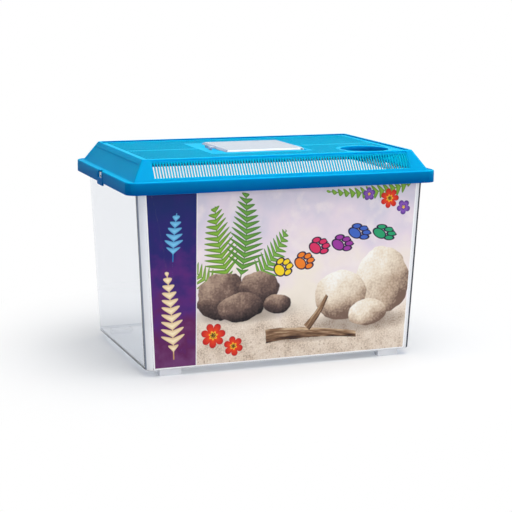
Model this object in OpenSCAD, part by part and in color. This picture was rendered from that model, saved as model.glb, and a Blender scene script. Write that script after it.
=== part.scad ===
// Pet keeper: a clear tank with a vented lid and a hinged feeding hatch.
// Millimetres, +X along the length, -Y is the labelled front, +Z up.
// The origin is the middle of the footprint, on the surface that the feet stand on.

/* [Tank] */
// Length of the tank over its walls, at the rim
tank_length = 343; // [280:1:400]
// Depth of the tank over its walls, at the rim
tank_depth = 213; // [170:1:240]
// Height of the rim above the surface that the feet stand on
tank_height = 215; // [150:1:260]
// How much shorter the tank is at its base, both ends together
length_taper = 21.4; // [0:0.1:36]
// How much shallower the tank is at its base, front and back together
depth_taper = 6.6; // [0:0.1:24]
// Radius of the upright corners
tank_corner_radius = 8; // [6:0.5:18]
// Thickness of the tank's walls
tank_wall = 2.2; // [1.4:0.1:3.5]
// Thickness of the tank's floor
floor_thickness = 2.4; // [1.6:0.1:4]
// Radius of the edge between the walls and the underside of the floor
base_edge_radius = 1.2; // [0.6:0.1:1.6]
// Radius of the edge between the walls and the floor, inside
floor_edge_radius = 1.8; // [0.6:0.1:3]

/* [Rim of the tank] */
// Thickness of the outward flange that the lid rests on
rim_thickness = 2.4; // [1.6:0.1:3.5]
// Depth of the lip that is turned down at the flange's edge, flange included
rim_lip_height = 7.5; // [5:0.1:9]
// Thickness of that lip
rim_lip_wall = 1.8; // [1.2:0.1:2.5]
// How far each end catch stands out of the lip
catch_depth = 0.7; // [0.4:0.05:0.8]
// Height of each end catch
catch_height = 3.6; // [2:0.1:4.4]
// Height of the upright part of the catch, below its ramp
catch_flat = 1.2; // [0.6:0.1:1.8]
// Distance from the rim's top down to the top of each catch
catch_drop = 2; // [1.5:0.1:3]

/* [Feet] */
// Height of the feet
foot_height = 7; // [4:0.5:12]
// Length of each foot along the front and back
foot_length = 25; // [15:1:60]
// Depth of each foot where it stands
foot_depth = 8; // [5:0.5:16]
// How much deeper each foot is where it joins the floor
foot_flare = 7; // [2:0.5:12]
// Distance from each foot's end to the end wall
foot_end_inset = 15.5; // [4:0.5:20]
// Distance from each foot's face to the front or back wall
foot_face_inset = 1.6; // [0.5:0.1:5]

/* [Lid] */
// Height of the lid's skirt
skirt_height = 14; // [10:0.5:16]
// Thickness of the skirt
skirt_wall = 2.2; // [1.6:0.1:2.8]
// Corner radius of the skirt
skirt_corner_radius = 12; // [9:0.5:20]
// How far the skirt stands out past the tank's end walls
end_overhang = 12.5; // [10:0.5:18]
// How far the skirt stands out past the tank's front and back walls
side_overhang = 8.5; // [7.5:0.5:14]
// Thickness of the ledge that lies on the tank's rim
ledge_thickness = 2.2; // [1.6:0.1:3]
// Width of the lip along the outer edge of the ledge
ledge_lip_width = 2.2; // [1:0.1:3]
// Height of that lip above the ledge
ledge_lip_height = 0.8; // [0.4:0.1:1]
// Thickness of the lid's slopes and top panel
lid_wall = 2; // [1.4:0.1:2.8]
// Height from the ledge to the border of the top
crown_height = 22.8; // [16:0.2:34]
// Width of the ledge at each end
end_ledge = 8.2; // [6:0.2:12]
// Width of the ledge along the front and back
side_ledge = 4.2; // [3.4:0.2:6]
// How far each end slope leans in
end_lean = 14.2; // [8:0.2:24]
// How far the front and back slopes lean in
side_lean = 16.2; // [8:0.2:24]
// Radius of the four edges where the slopes meet
hip_radius = 3.5; // [2.4:0.1:4.5]
// Width of the raised border round the top panel
border_width = 3; // [2:0.2:6]
// Height of that border above the top panel
border_height = 1.6; // [0.8:0.1:2.4]
// Corner radius of the top panel inside its border
panel_corner_radius = 1.5; // [0.5:0.1:4]

/* [Vents] */
// Width of each vent slot
slot_width = 1.9; // [1:0.05:2.4]
// Spacing of the vent slots
slot_pitch = 3.24; // [3:0.01:6]
// Plain strip at each end of the slotted fields
slot_end_margin = 23; // [16:1:60]
// Plain strip below the slots of the front and back slopes, in height
slot_low_margin = 4.8; // [1.6:0.1:5]
// Plain strip above the slots of the front and back slopes, in height
slot_high_margin = 2; // [2:0.1:6]
// How far the slotted fields of the slopes lie below their frames
field_recess = 0.8; // [0.3:0.1:1]
// Plain strip round the slots inside their recessed field
field_margin = 1; // [0.4:0.1:1.4]
// Plain strip all round the slots of the top panel
panel_slot_margin = 4; // [2:0.5:12]
// Plain strip between those slots and the hatch's trough, the scoop and the round recess
plain_margin = 3; // [1:0.5:8]
// Width of the rib that crosses the slots of the top panel
cross_rib = 4; // [2:0.5:10]
// Shortest slot worth opening in the top panel
shortest_slot = 8; // [5:1:20]

/* [End panels] */
// Width of the plain frame below the inset panel of each end slope
end_panel_low_margin = 2; // [1:0.5:10]
// Width of that frame above the panel
end_panel_high_margin = 6; // [2:0.5:10]
// Width of that frame along the panel's leaning sides
end_panel_side_margin = 5; // [3:0.5:10]
// Depth of that inset panel
end_panel_depth = 0.8; // [0.2:0.1:0.9]

/* [Round recess] */
// Radius of the round recess in the top panel
recess_radius = 28; // [15:0.5:30]
// Depth of the round recess
recess_depth = 6; // [4:0.5:9]
// Distance of the recess's middle from the lid's middle, to the right
recess_x = 119.5; // [100:0.5:125]
// Distance of the recess's middle from the lid's middle, to the front
recess_y = 53.5; // [40:0.5:56]

/* [Hatch] */
// Length of the hatch
hatch_length = 97; // [80:1:110]
// Depth of the hatch, front to back
hatch_depth = 88; // [70:1:100]
// How far the hatch stands above the top panel
hatch_height = 2.4; // [2:0.1:4]
// Width of the bevel round the hatch's top
hatch_bevel = 2.5; // [1:0.1:4]
// Height of the upright edge below that bevel
hatch_edge = 0.3; // [0.1:0.1:0.8]
// Corner radius of the hatch
hatch_corner_radius = 2.6; // [2:0.1:5]
// Thickness of the hatch's plate and rims
hatch_wall = 1.5; // [1.1:0.1:2]
// Width of the seat on the lid that the hatch rests on
hatch_seat = 7; // [5:0.5:10]
// How far the hatch's rim reaches down into the opening
hatch_rim_drop = 3.6; // [3.4:0.1:6]
// Gap between that rim and the opening
hatch_rim_gap = 0.5; // [0.4:0.1:1]

/* [Hatch hinge] */
// Radius of the hinge pins
pin_radius = 1.3; // [1:0.1:1.5]
// Running clearance round the hinge pins
pin_clearance = 0.05; // [0.02:0.01:0.1]
// Length of each hinge pin
pin_length = 4.2; // [2.5:0.1:6]
// Room past the end of each pin in its socket
pin_end_gap = 0.2; // [0.1:0.05:0.6]
// Radius of the barrel between the pins
barrel_radius = 2.2; // [1.8:0.1:2.6]
// Thickness of the web between the barrel and the hatch's plate
hinge_web = 2.2; // [1:0.1:3]
// Depth of the hinge axis below the top panel
axis_depth = 2; // [1.8:0.1:3]
// Distance of the hinge axis from the hatch's right edge
axis_inset = 4; // [3:0.5:5]
// Gap between the hatch's ends and the ends of the trough
trough_end_gap = 0.4; // [0.3:0.05:1]
// Thickness of the trough's walls
trough_wall = 1.6; // [1.2:0.1:2.4]
// Room left round the hatch's edge as it turns in the trough
swing_room = 0.5; // [0.3:0.1:1]
// Further room in the trough on the side away from the opening
trough_extra = 2; // [0:0.1:4]

/* [Hatch snap and finger scoop] */
// Width of the finger tab, front to back
tab_width = 12; // [8:0.5:20]
// Length of the finger tab past the hatch's left edge
tab_length = 8.5; // [7:0.5:12]
// Height of the upturned end of the finger tab above the top panel
tab_height = 3.8; // [3:0.1:6]
// Clearance under the finger tab
tab_clearance = 0.2; // [0.1:0.05:0.5]
// Distance from the hatch's left edge to the middle of the snap's stem
stem_distance = 3.6; // [2:0.1:5]
// Thickness of the snap's stem
stem_thickness = 1.4; // [1:0.1:2]
// How much narrower than the tab the stem is, on each side
stem_margin = 1.5; // [0.5:0.1:3]
// How far the snap's stem reaches below the top panel
stem_drop = 5; // [4:0.1:7]
// Gap round the snap's stem in its slot
stem_gap = 0.4; // [0.3:0.05:0.8]
// Depth of the finger scoop at its deepest
scoop_depth = 3.2; // [2.4:0.1:3.8]
// Length of the scoop past the hatch's left edge
scoop_reach = 16.5; // [12:0.5:22]
// Radius of the scoop's outline
scoop_radius = 31.5; // [26:0.5:36]

/* [End latches] */
// Width of each latch
latch_width = 21.4; // [20:0.2:40]
// Width of each of its two arms
latch_arm = 2.6; // [2.4:0.1:5]
// Thickness of the latch
latch_thickness = 2.2; // [1.6:0.1:2.8]
// How far the latch's root reaches up past the tank's rim, into the ledge
latch_root = 0.7; // [0.3:0.1:1.2]
// How far the latch stands out of the skirt
latch_proud = 0.6; // [0.2:0.1:1.5]
// How far the latch's grip reaches below the skirt
grip_drop = 2.8; // [1:0.1:8]
// Height of the latch's lower bar, grip included
bar_height = 7.8; // [5:0.1:9]
// How far the window above the latch cuts into the ledge
window_depth = 4; // [2.4:0.2:5]
// Gap along the edges of the latch
latch_gap = 0.3; // [0.25:0.05:0.6]

/* [Label] */
// Thickness of the printed label
label_thickness = 0.3; // [0.2:0.05:0.5]
// Thickness of the glue between the label and the wall
glue_thickness = 0.1; // [0.05:0.01:0.2]
// Distance from the label's lower edge to the rounded foot of the wall
label_low_margin = 0.2; // [0.1:0.1:20]
// How far the label's upper edge is tucked up behind the skirt
label_tuck = 1.5; // [0.5:0.1:3]
// Distance from the label's side edges to where the corners begin to turn
label_side_margin = 0.4; // [0:0.1:30]

/* [Fits] */
// Gap between the tank's rim and the inside of the skirt
lid_gap = 0.4; // [0.3:0.05:0.8]

/* [Hidden] */

// A little more than enough, so that cuts pass right through
over = 1;
// Height of the thin slices that a drafted block is stretched over
sliver = 0.01;
// Facets of a full turn: on corners that are blended, and on true rounds
blend_facets = 32;
round_facets = 96;
scoop_facets = 240;

// Walls of the tank: length and depth at a height above the ground
wall_height = tank_height - foot_height;
function length_at(z) = tank_length - length_taper * (tank_height - z) / wall_height;
function depth_at(z) = tank_depth - depth_taper * (tank_height - z) / wall_height;

// Plan of the lid
lid_length = tank_length + 2 * end_overhang;
lid_depth = tank_depth + 2 * side_overhang;
skirt_inner_length = lid_length - 2 * skirt_wall;
skirt_inner_depth = lid_depth - 2 * skirt_wall;
skirt_inner_radius = skirt_corner_radius - skirt_wall;

// Heights of the lid, which rests on the rim
ledge_under = tank_height;
ledge_top = ledge_under + ledge_thickness;
skirt_top = ledge_top + ledge_lip_height;
skirt_bottom = skirt_top - skirt_height;
border_top = ledge_top + crown_height;
panel_top = border_top - border_height;
panel_under = panel_top - lid_wall;

// Foot of the slopes, as half a length and half a depth, and the slopes' angles
crown_x = lid_length / 2 - end_ledge;
crown_y = lid_depth / 2 - side_ledge;
end_angle = atan2(crown_height, end_lean);
side_angle = atan2(crown_height, side_lean);
function crown_x_at(z) = crown_x - end_lean * (z - ledge_top) / crown_height;
function crown_y_at(z) = crown_y - side_lean * (z - ledge_top) / crown_height;
end_wall_across = lid_wall / sin(end_angle);
side_wall_across = lid_wall / sin(side_angle);

// Top panel inside its border
panel_x = crown_x_at(border_top) - border_width;
panel_y = crown_y_at(border_top) - border_width;

// Vent slots: as many as fit between the plain strips at the two ends
slot_count = floor(2 * (crown_x - slot_end_margin) / slot_pitch);
field_length = slot_count * slot_pitch;
slot_columns = [for (i = [0:slot_count - 1]) (i - (slot_count - 1) / 2) * slot_pitch];
slot_low_y = crown_y_at(ledge_top + slot_low_margin);
slot_high_y = crown_y_at(border_top - slot_high_margin);

// Hatch, its hinge and the trough that it turns in
hatch_right = hatch_length / 2;
hatch_front = hatch_depth / 2;
hatch_top = panel_top + hatch_height;
axis_x = hatch_right - axis_inset;
axis_z = panel_top - axis_depth;
swing_radius = norm([axis_inset, axis_depth]) + swing_room;
crown_radius = norm([axis_inset - hatch_bevel, axis_depth + hatch_height]) + swing_room;
trough_radius = max(swing_radius, crown_radius);
trough_left = axis_x - trough_radius;
trough_right = axis_x + trough_radius + trough_extra;
trough_floor = axis_z - trough_radius;
trough_end = hatch_front + trough_end_gap;
socket_end = trough_end + pin_length + pin_end_gap;

// Opening under the hatch
opening_left = -hatch_right + hatch_seat;
opening_right = trough_left - trough_wall;
opening_front = hatch_front - hatch_seat;

// Scoop: a shallow bowl that runs in under the hatch's left edge
scoop_left = -hatch_right - scoop_reach;
scoop_x = scoop_left + scoop_radius;
bowl_radius = (pow(scoop_radius, 2) + pow(scoop_depth, 2)) / (2 * scoop_depth);
bowl_z = panel_top - scoop_depth + bowl_radius;

// Snap: where its stem stands, left of the hatch's edge
stem_x = -hatch_right - stem_distance;
stem_width = tab_width - 2 * stem_margin;

// Latches: places along Z, and the line that they flex about
latch_top = ledge_under + latch_root;
latch_bottom = skirt_bottom - grip_drop;
window_bottom = latch_bottom + bar_height;
latch_outer = lid_length / 2 + latch_proud;
latch_inner = latch_outer - latch_thickness;

// Rim of the tank, inside the skirt
rim_length = skirt_inner_length - 2 * lid_gap;
rim_depth = skirt_inner_depth - 2 * lid_gap;
rim_radius = skirt_inner_radius - lid_gap;
catch_width = latch_width - 2 * latch_arm - 2 * latch_gap;
catch_tip = rim_length / 2 + catch_depth;

// ---------------------------------------------------------------- shared forms

// Rectangle with round corners, centred
module rounded_outline(length, depth, radius) {
    square([length - 2 * radius, depth], center = true);
    square([length, depth - 2 * radius], center = true);
    for (x = [-1, 1], y = [-1, 1])
        translate([x * (length / 2 - radius), y * (depth / 2 - radius)])
            circle(radius, $fn = round_facets);
}

// Upright block with round corners, between two heights
module rounded_block(length, depth, radius, low, high) {
    translate([0, 0, low])
        linear_extrude(high - low) rounded_outline(length, depth, radius);
}

// Thin slice with round corners, centred: half a length, half a depth and its height
module slice(half_x, half_y, radius, z) {
    translate([0, 0, z])
        linear_extrude(sliver)
            offset(radius, $fn = blend_facets)
                square([2 * (half_x - radius), 2 * (half_y - radius)], center = true);
}

// Block with four leaning sides and round corners: half sizes at its foot and at its top
module leaning_block(foot_x, foot_y, top_x, top_y, radius, low, high) {
    hull() {
        slice(foot_x, foot_y, radius, low);
        slice(top_x, top_y, radius, high - sliver);
    }
}

// Both of a pair: the shape, and its mirror image across the length or the depth
module at_both_ends() {
    children();
    mirror([1, 0, 0]) children();
}

module at_front_and_back() {
    children();
    mirror([0, 1, 0]) children();
}

// ------------------------------------------------------------------------ tank

// Slice of the tank, shrunk by an inset on every wall
module tank_slice(inset, z) {
    slice(length_at(z) / 2 - inset, depth_at(z) / 2 - inset, tank_corner_radius - inset, z);
}

// Drafted block with upright round corners and a rounded edge at its foot
module drafted_block(inset, edge_radius, low, high) {
    hull() {
        for (turn = [0:30:90])
            tank_slice(inset + edge_radius * (1 - sin(turn)), low + edge_radius * (1 - cos(turn)));
        tank_slice(inset, high - sliver);
    }
}

module foot() {
    face_y = depth_at(foot_height) / 2 - foot_face_inset;
    end_x = length_at(foot_height) / 2 - foot_end_inset;
    translate([end_x - foot_length, 0, 0])
        rotate([90, 0, 90])
            linear_extrude(foot_length)
                polygon([
                    [-face_y, foot_height + floor_thickness / 2],
                    [-face_y, 0],
                    [-face_y + foot_depth, 0],
                    [-face_y + foot_depth + foot_flare, foot_height],
                    [-face_y + foot_depth + foot_flare, foot_height + floor_thickness / 2]
                ]);
}

// Wedge on the rim's end that the latch's window closes over
module end_catch() {
    high = tank_height - catch_drop;
    low = high - catch_height;
    lip_x = rim_length / 2 - rim_lip_wall / 2;
    translate([0, catch_width / 2, 0])
        rotate([90, 0, 0])
            linear_extrude(catch_width)
                polygon([[lip_x, low], [catch_tip, low], [catch_tip, low + catch_flat], [lip_x, high]]);
}

module rim() {
    difference() {
        rounded_block(rim_length, rim_depth, rim_radius, tank_height - rim_lip_height, tank_height);
        rounded_block(
            rim_length - 2 * rim_lip_wall, rim_depth - 2 * rim_lip_wall, rim_radius - rim_lip_wall,
            tank_height - rim_lip_height - over, tank_height - rim_thickness
        );
    }
}

module tank() {
    color("gainsboro", 0.4)
    difference() {
        union() {
            drafted_block(0, base_edge_radius, foot_height, tank_height);
            rim();
            at_both_ends() at_front_and_back() foot();
            at_both_ends() end_catch();
        }
        drafted_block(
            tank_wall, floor_edge_radius, foot_height + floor_thickness, tank_height + over
        );
    }
}

// ----------------------------------------------------------------------- label

module label() {
    low = foot_height + base_edge_radius + label_low_margin;
    high = skirt_bottom + label_tuck;
    lean = atan2(depth_taper / 2, wall_height);
    margin = tank_corner_radius + label_side_margin;
    low_x = length_at(low) / 2 - margin;
    high_x = length_at(high) / 2 - margin;
    rise = (high - low) / cos(lean);
    color("lavender")
    translate([0, -depth_at(low) / 2 - glue_thickness, low])
        rotate([90 + lean, 0, 0])
            linear_extrude(label_thickness)
                polygon([[-low_x, 0], [low_x, 0], [high_x, rise], [-high_x, rise]]);
}

// ------------------------------------------------------------------------- lid

// Flat frame of a slope: the children are drawn on it, X along it, Y up it, Z out of it
module on_side_slope() {
    translate([0, -crown_y, ledge_top]) rotate([side_angle, 0, 0]) children();
}

module on_end_slope() {
    translate([crown_x, 0, ledge_top]) rotate([0, 0, 90]) rotate([end_angle, 0, 0]) children();
}

module skirt_and_ledge() {
    difference() {
        rounded_block(lid_length, lid_depth, skirt_corner_radius, skirt_bottom, skirt_top);
        rounded_block(
            skirt_inner_length, skirt_inner_depth, skirt_inner_radius,
            skirt_bottom - over, ledge_under
        );
        rounded_block(
            lid_length - 2 * ledge_lip_width, lid_depth - 2 * ledge_lip_width,
            skirt_corner_radius - ledge_lip_width, ledge_top, skirt_top + over
        );
    }
}

module crown_outside() {
    foot = ledge_top - lid_wall / 2;
    leaning_block(
        crown_x_at(foot), crown_y_at(foot), crown_x_at(border_top), crown_y_at(border_top),
        hip_radius, foot, border_top
    );
}

module crown_inside() {
    low = ledge_under - over;
    leaning_block(
        crown_x_at(low) - end_wall_across, crown_y_at(low) - side_wall_across,
        crown_x_at(panel_under) - end_wall_across, crown_y_at(panel_under) - side_wall_across,
        hip_radius - lid_wall, low, panel_under
    );
}

// Shallow field on the front slope that the slots lie in
module side_field() {
    low = (slot_low_margin - field_margin) / sin(side_angle);
    high = (crown_height - slot_high_margin + field_margin) / sin(side_angle);
    on_side_slope()
        translate([-field_length / 2 - field_margin, low, -field_recess])
            cube([field_length + 2 * field_margin, high - low, field_recess + over]);
}

// Inset panel of an end slope, as wide as the slope is at each height
module end_panel() {
    low = end_panel_low_margin;
    high = crown_height / sin(end_angle) - end_panel_high_margin;
    low_y = crown_y_at(ledge_top + low * sin(end_angle)) - end_panel_side_margin;
    high_y = crown_y_at(ledge_top + high * sin(end_angle)) - end_panel_side_margin;
    on_end_slope()
        translate([0, 0, -end_panel_depth])
            linear_extrude(end_panel_depth + over)
                polygon([[-low_y, low], [low_y, low], [high_y, high], [-high_y, high]]);
}

// Slots of the front slope, cut straight down as the mould draws
module side_slots() {
    for (x = slot_columns)
        translate([x - slot_width / 2, -slot_low_y, ledge_under - over])
            cube([slot_width, slot_low_y - slot_high_y, crown_height + over]);
}

// Slots of the top panel. Each column has one in front of the cross rib and one behind it,
// and both stop short of the hatch, the scoop and the round recess.
slot_edge_y = panel_y - panel_slot_margin;
hatch_zone_left = scoop_left - plain_margin;
hatch_zone_right = trough_right + trough_wall + plain_margin;
hatch_zone_y = socket_end + trough_wall + plain_margin;
recess_zone = recess_radius + lid_wall + plain_margin;
function beside_hatch(x) = x > hatch_zone_left && x < hatch_zone_right;
function inner_y(x) = beside_hatch(x) ? hatch_zone_y : cross_rib / 2;
function recess_chord(x) = sqrt(max(0, pow(recess_zone, 2) - pow(x - recess_x, 2)));
function front_y(x) =
    abs(x - recess_x) < recess_zone ? min(slot_edge_y, recess_y - recess_chord(x)) : slot_edge_y;

module panel_slot(x, from_y, to_y) {
    if (to_y - from_y > shortest_slot)
        translate([x - slot_width / 2, from_y, panel_under - over])
            cube([slot_width, to_y - from_y, lid_wall + 2 * over]);
}

module panel_slots() {
    for (x = slot_columns)
        if (abs(x) < panel_x - panel_slot_margin) {
            panel_slot(x, inner_y(x), slot_edge_y);
            panel_slot(x, -front_y(x), -inner_y(x));
        }
}

module round_recess(radius, low, high) {
    translate([recess_x, -recess_y, low]) cylinder(high - low, radius, radius, $fn = round_facets);
}

// Bowl of the finger scoop, from the edge of the hatch's opening and up to a height
module scoop_bowl(thickness, high) {
    low = panel_top - scoop_depth - thickness - over;
    intersection() {
        translate([scoop_x, 0, bowl_z]) sphere(bowl_radius + thickness, $fn = scoop_facets);
        translate([opening_left - 2 * scoop_radius, -2 * scoop_radius, low])
            cube([2 * scoop_radius, 4 * scoop_radius, high - low]);
    }
}

module stem_slot() {
    translate([
        stem_x - stem_thickness / 2 - stem_gap, -stem_width / 2 - stem_gap,
        panel_top - stem_drop - 2 * over
    ])
        cube([stem_thickness + 2 * stem_gap, stem_width + 2 * stem_gap, stem_drop + 3 * over]);
}

module trough_outside() {
    translate([trough_left - trough_wall, -socket_end - trough_wall, trough_floor - trough_wall])
        cube([
            trough_right - trough_left + 2 * trough_wall,
            2 * (socket_end + trough_wall),
            panel_top - trough_floor + trough_wall - lid_wall / 2
        ]);
}

module trough_inside() {
    translate([trough_left, -trough_end, trough_floor])
        cube([trough_right - trough_left, 2 * trough_end, panel_top - trough_floor + over]);
}

module hinge_sockets() {
    translate([axis_x, socket_end, axis_z])
        rotate([90, 0, 0])
            cylinder(
                2 * socket_end, pin_radius + pin_clearance, pin_radius + pin_clearance,
                $fn = round_facets
            );
}

module hatch_opening() {
    translate([opening_left, -opening_front, trough_floor - trough_wall - over])
        cube([opening_right - opening_left, 2 * opening_front, panel_top]);
}

// Block cut outward from a place along X, between two heights
module outward_cut(from_x, half_width, low, high) {
    translate([from_x, -half_width, low])
        cube([latch_outer - from_x + over, 2 * half_width, high - low]);
}

// Slot in the skirt for a latch, and the window above it that shows the catch
module latch_cut() {
    half_width = latch_width / 2 + latch_gap;
    window_half = latch_width / 2 - latch_arm;
    outward_cut(skirt_inner_length / 2 - over, half_width, skirt_bottom - over, ledge_under);
    outward_cut(latch_inner - latch_gap, half_width, ledge_under - over, latch_top + latch_gap);
    outward_cut(lid_length / 2 - window_depth, window_half, ledge_under - over, skirt_top + over);
}

module lid() {
    color("deepskyblue")
    difference() {
        union() {
            difference() {
                union() {
                    skirt_and_ledge();
                    crown_outside();
                }
                crown_inside();
            }
            trough_outside();
            round_recess(
                recess_radius + lid_wall, panel_top - recess_depth - lid_wall,
                panel_top - lid_wall / 2
            );
            scoop_bowl(lid_wall, panel_top - lid_wall / 2);
        }
        rounded_block(
            2 * panel_x, 2 * panel_y, panel_corner_radius, panel_top, border_top + over
        );
        at_front_and_back() {
            side_field();
            side_slots();
        }
        at_both_ends() {
            end_panel();
            latch_cut();
        }
        panel_slots();
        round_recess(recess_radius, panel_top - recess_depth, panel_top + over);
        scoop_bowl(0, panel_top + over);
        stem_slot();
        hatch_opening();
        trough_inside();
        hinge_sockets();
    }
}

// ----------------------------------------------------------------------- hatch

module hatch_cover() {
    top_x = hatch_right - hatch_bevel;
    top_y = hatch_front - hatch_bevel;
    under = hatch_top - hatch_wall;
    difference() {
        hull() {
            slice(hatch_right, hatch_front, hatch_corner_radius, panel_top);
            slice(hatch_right, hatch_front, hatch_corner_radius, panel_top + hatch_edge);
            slice(top_x, top_y, hatch_corner_radius, hatch_top - sliver);
        }
        translate([-top_x, -top_y, panel_top - over])
            cube([2 * top_x, 2 * top_y, under - panel_top + over]);
    }
}

// Rim that drops into the opening of the lid
module hatch_rim() {
    left = opening_left + hatch_rim_gap;
    right = opening_right - hatch_rim_gap;
    front = opening_front - hatch_rim_gap;
    low = panel_top - hatch_rim_drop;
    high = hatch_top - hatch_wall / 2;
    difference() {
        translate([left, -front, low]) cube([right - left, 2 * front, high - low]);
        translate([left + hatch_wall, -front + hatch_wall, low - over])
            cube([right - left - 2 * hatch_wall, 2 * (front - hatch_wall), high - low + 2 * over]);
    }
}

// Barrel and pins along the right edge, joined to the plate by a web
module hatch_hinge() {
    translate([axis_x, hatch_front, axis_z])
        rotate([90, 0, 0])
            cylinder(hatch_depth, barrel_radius, barrel_radius, $fn = round_facets);
    translate([axis_x, trough_end + pin_length, axis_z])
        rotate([90, 0, 0])
            cylinder(2 * (trough_end + pin_length), pin_radius, pin_radius, $fn = round_facets);
    translate([axis_x - hinge_web / 2, -hatch_front, axis_z])
        cube([hinge_web, hatch_depth, hatch_top - hatch_wall / 2 - axis_z]);
}

// Finger tab with an upturned end, and the snap's stem below it
module hatch_tab() {
    tab_low = panel_top + tab_clearance;
    tab_left = -hatch_right - tab_length;
    translate([tab_left, -tab_width / 2, tab_low])
        cube([tab_length + hatch_bevel + hatch_wall, tab_width, hatch_wall]);
    translate([tab_left, -tab_width / 2, tab_low])
        cube([hatch_wall, tab_width, tab_height - tab_clearance]);
    translate([stem_x - stem_thickness / 2, -stem_width / 2, panel_top - stem_drop])
        cube([stem_thickness, stem_width, stem_drop + hatch_wall / 2]);
}

module hatch() {
    color("aliceblue", 0.6) {
        hatch_cover();
        hatch_rim();
        hatch_hinge();
        hatch_tab();
    }
}

// --------------------------------------------------------------------- latches

// A frame that is open at its top: two arms and a lower bar with the grip
module latch() {
    color("dodgerblue")
    difference() {
        translate([latch_inner, -latch_width / 2, latch_bottom])
            cube([latch_thickness, latch_width, latch_top - latch_bottom]);
        translate([latch_inner - over, -latch_width / 2 + latch_arm, window_bottom])
            cube([latch_thickness + 2 * over, latch_width - 2 * latch_arm, latch_top]);
    }
}

module left_latch() {
    mirror([1, 0, 0]) latch();
}

module right_latch() {
    latch();
}

tank();
lid();
hatch();
label();
left_latch();
right_latch();
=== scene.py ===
import math

import bmesh
import bpy
from mathutils import Matrix, Vector


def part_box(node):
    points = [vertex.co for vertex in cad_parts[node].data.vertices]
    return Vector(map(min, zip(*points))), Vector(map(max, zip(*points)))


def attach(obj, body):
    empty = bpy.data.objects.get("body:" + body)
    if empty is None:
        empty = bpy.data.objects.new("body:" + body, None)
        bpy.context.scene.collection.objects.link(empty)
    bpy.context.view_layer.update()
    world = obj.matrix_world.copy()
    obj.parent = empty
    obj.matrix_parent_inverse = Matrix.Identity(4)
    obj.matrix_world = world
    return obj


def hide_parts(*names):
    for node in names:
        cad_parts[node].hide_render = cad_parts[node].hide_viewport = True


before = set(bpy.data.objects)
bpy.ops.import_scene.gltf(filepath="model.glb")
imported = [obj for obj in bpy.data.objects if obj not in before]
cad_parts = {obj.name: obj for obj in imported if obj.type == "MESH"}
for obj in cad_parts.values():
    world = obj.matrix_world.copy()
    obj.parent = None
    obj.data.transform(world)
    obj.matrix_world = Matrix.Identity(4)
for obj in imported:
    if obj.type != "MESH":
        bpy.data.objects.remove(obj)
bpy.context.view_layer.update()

MM = 0.001

# ---------------------------------------------------------------- camera and room

CAMERA_PLACE = (-0.588, -1.5537, 0.42693)
CAMERA_TURN = math.radians(20.918)
CAMERA_DIP = math.radians(10.866)
CAMERA_ROLL = math.radians(0.505)
CAMERA_LENS, FILM_WIDTH = 99.98, 36
NEAREST_SEEN, FARTHEST_SEEN = 0.05, 50

LIGHT_FROM_LEFT, LIGHT_FROM_RIGHT = 0.32, 0.62
FLOOR_SIZE, SHADE_ENDS, WHITE_STARTS = 12, 0.16, 0.4
FLOOR_PAPER, FLOOR_GLOW = (0.84, 0.85, 0.865, 1), 0.15
WHITE = (1, 1, 1, 1)


def place_camera():
    data = bpy.data.cameras.new("camera")
    data.lens = CAMERA_LENS
    data.sensor_width = FILM_WIDTH
    data.clip_start = NEAREST_SEEN
    data.clip_end = FARTHEST_SEEN
    camera = bpy.data.objects.new("camera", data)
    bpy.context.collection.objects.link(camera)
    turn = Matrix.Rotation(-CAMERA_TURN, 4, "Z")
    dip = Matrix.Rotation(math.pi / 2 - CAMERA_DIP, 4, "X")
    roll = Matrix.Rotation(CAMERA_ROLL, 4, "Z")
    camera.matrix_world = Matrix.Translation(CAMERA_PLACE) @ turn @ dip @ roll
    bpy.context.scene.camera = camera


def new_material(name):
    """An empty material and its node tree."""
    material = bpy.data.materials.new(name)
    material.use_nodes = True
    material.node_tree.nodes.clear()
    return material, material.node_tree


def add_node(tree, kind, **values):
    """A node with its settings and the values or links of its inputs, by name or number."""
    node = tree.nodes.new(kind)
    inputs = values.pop("inputs", {})
    for key, value in values.items():
        setattr(node, key, value)
    for key, value in inputs.items():
        socket = node.inputs[key]
        if isinstance(value, bpy.types.NodeSocket):
            tree.links.new(value, socket)
        else:
            socket.default_value = value
    return node


def seen_directly(tree):
    """1 where the camera, a mirror image or a clear wall shows a surface, and 0 for the light it gives."""
    path = add_node(tree, "ShaderNodeLightPath")
    first = add_node(tree, "ShaderNodeMath", operation="MAXIMUM", inputs={
        0: path.outputs["Is Camera Ray"], 1: path.outputs["Is Glossy Ray"]})
    return add_node(tree, "ShaderNodeMath", operation="MAXIMUM", inputs={
        0: first.outputs[0], 1: path.outputs["Is Transmission Ray"]}).outputs[0]


def light_room():
    """Plain white seen all round, with a softer light that comes more from the right."""
    world = bpy.data.worlds.new("studio")
    bpy.context.scene.world = world
    world.use_nodes = True
    tree = world.node_tree
    tree.nodes.clear()
    place = add_node(tree, "ShaderNodeTexCoord")
    split = add_node(tree, "ShaderNodeSeparateXYZ", inputs={0: place.outputs["Generated"]})
    level = add_node(tree, "ShaderNodeMapRange", inputs={
        "Value": split.outputs["X"], "From Min": -1.0, "From Max": 1.0,
        "To Min": LIGHT_FROM_LEFT, "To Max": LIGHT_FROM_RIGHT})
    lit = add_node(tree, "ShaderNodeBackground", inputs={"Color": WHITE, "Strength": level.outputs[0]})
    shown = add_node(tree, "ShaderNodeBackground", inputs={"Color": WHITE, "Strength": 1.0})
    mix = add_node(tree, "ShaderNodeMixShader", inputs={
        0: seen_directly(tree), 1: lit.outputs[0], 2: shown.outputs[0]})
    add_node(tree, "ShaderNodeOutputWorld", inputs={0: mix.outputs[0]})


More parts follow.
